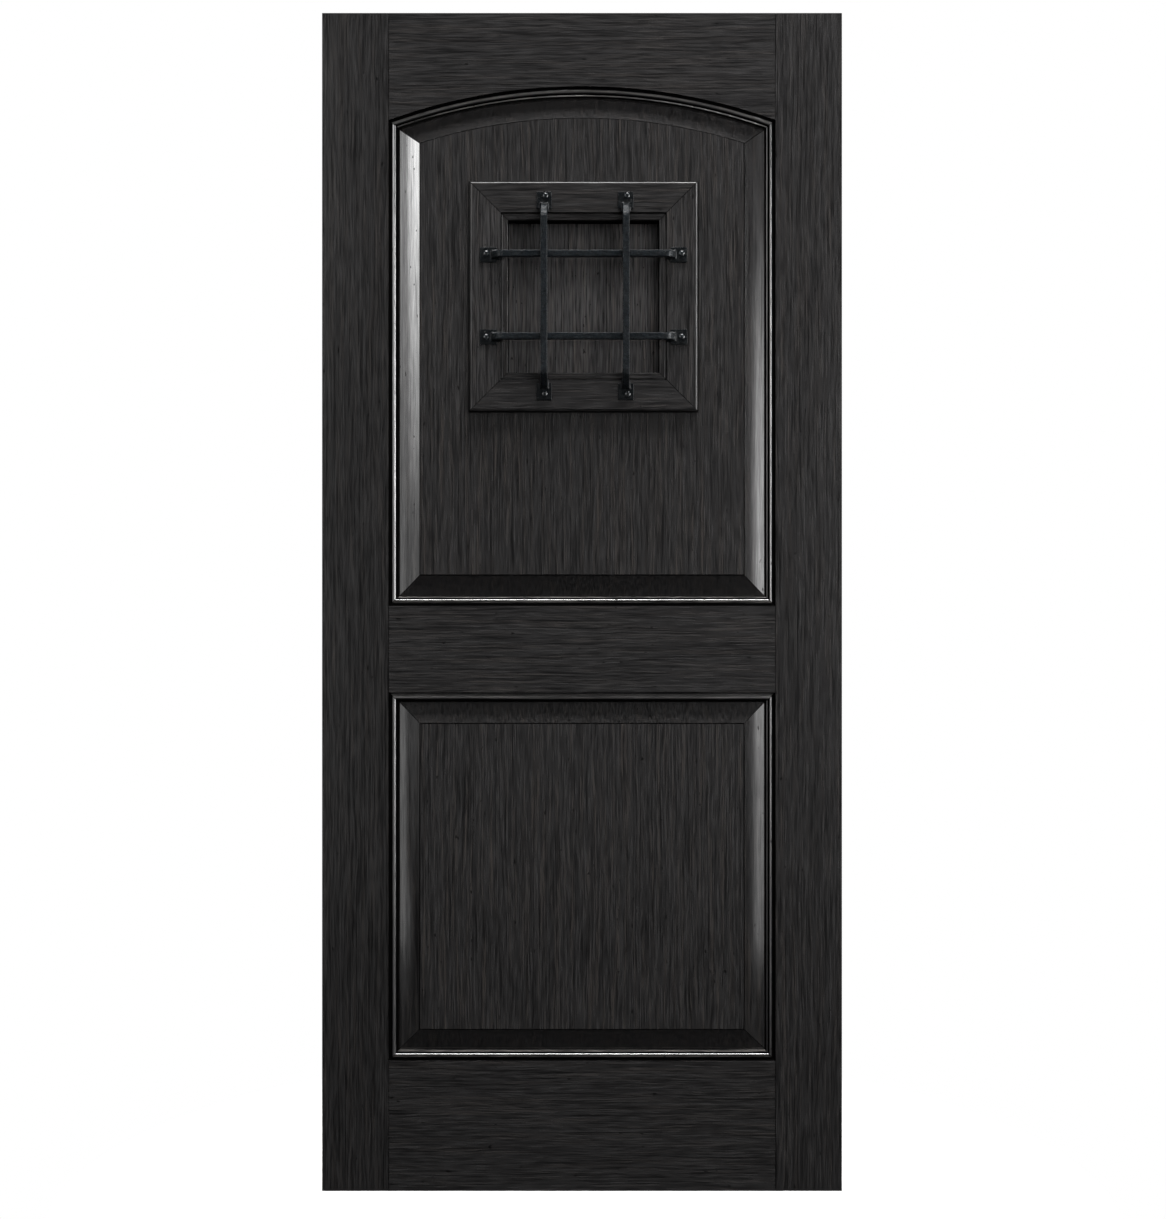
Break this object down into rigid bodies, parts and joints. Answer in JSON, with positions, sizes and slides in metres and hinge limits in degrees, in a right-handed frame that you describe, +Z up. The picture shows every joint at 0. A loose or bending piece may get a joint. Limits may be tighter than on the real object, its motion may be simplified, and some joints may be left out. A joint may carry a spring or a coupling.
{
  "type": "wine cellar door",
  "caption": "Solid wood door leaf with an arched and a square raised panel, a forged grille over a speakeasy opening, and a hinged shutter that closes it from the back.",
  "frame": {"origin": "foot of the hinge edge, halfway through the leaf's thickness", "axes": "+Z up, -Y towards the front with the grille, +X from the hinge edge to the lock edge"},
  "size_m": [0.897, 0.1081, 2.032],
  "materials": {
    "stained_wood": "open-grained wood stained charcoal, under a satin lacquer",
    "wrought_iron": "hand-forged iron, hammered and blackened, with a waxed sheen",
    "hinge_steel": "plain steel, blackened"
  },
  "bodies": {
    "door": {"arch_moulding_back": "stained_wood", "arch_moulding_front": "stained_wood", "bottom_rail": "stained_wood", "casing_bottom_back": "stained_wood", "casing_bottom_front": "stained_wood", "casing_left_back": "stained_wood", "casing_left_front": "stained_wood", "casing_right_back": "stained_wood", "casing_right_front": "stained_wood", "casing_top_back": "stained_wood", "casing_top_front": "stained_wood", "grille_bar_left": "wrought_iron", "grille_bar_lower": "wrought_iron", "grille_bar_right": "wrought_iron", "grille_bar_upper": "wrought_iron", "hinge_stile": "stained_wood", "lock_rail": "stained_wood", "lock_stile": "stained_wood", "lower_bottom_moulding_back": "stained_wood", "lower_bottom_moulding_front": "stained_wood", "lower_hinge_fixed_leaf": "hinge_steel", "lower_left_moulding_back": "stained_wood", "lower_left_moulding_front": "stained_wood", "lower_panel": "stained_wood", "lower_right_moulding_back": "stained_wood", "lower_right_moulding_front": "stained_wood", "lower_top_moulding_back": "stained_wood", "lower_top_moulding_front": "stained_wood", "opening_bead_bottom": "stained_wood", "opening_bead_left": "stained_wood", "opening_bead_right": "stained_wood", "opening_bead_top": "stained_wood", "top_rail": "stained_wood", "upper_bottom_moulding_back": "stained_wood", "upper_bottom_moulding_front": "stained_wood", "upper_hinge_fixed_leaf": "hinge_steel", "upper_left_moulding_back": "stained_wood", "upper_left_moulding_front": "stained_wood", "upper_panel": "stained_wood", "upper_right_moulding_back": "stained_wood", "upper_right_moulding_front": "stained_wood"},
    "shutter": {"shutter": "stained_wood", "shutter_knob": "wrought_iron", "lower_hinge_shutter_leaf": "hinge_steel", "upper_hinge_shutter_leaf": "hinge_steel"}
  },
  "joints": [
    {"name": "shutter_hinge", "type": "hinge", "parent": "door", "child": "shutter", "pos_m": [0.3137, 0.03045, 1.5424], "axis": [0, 0, 1], "range_deg": [0, 150]}
  ]
}
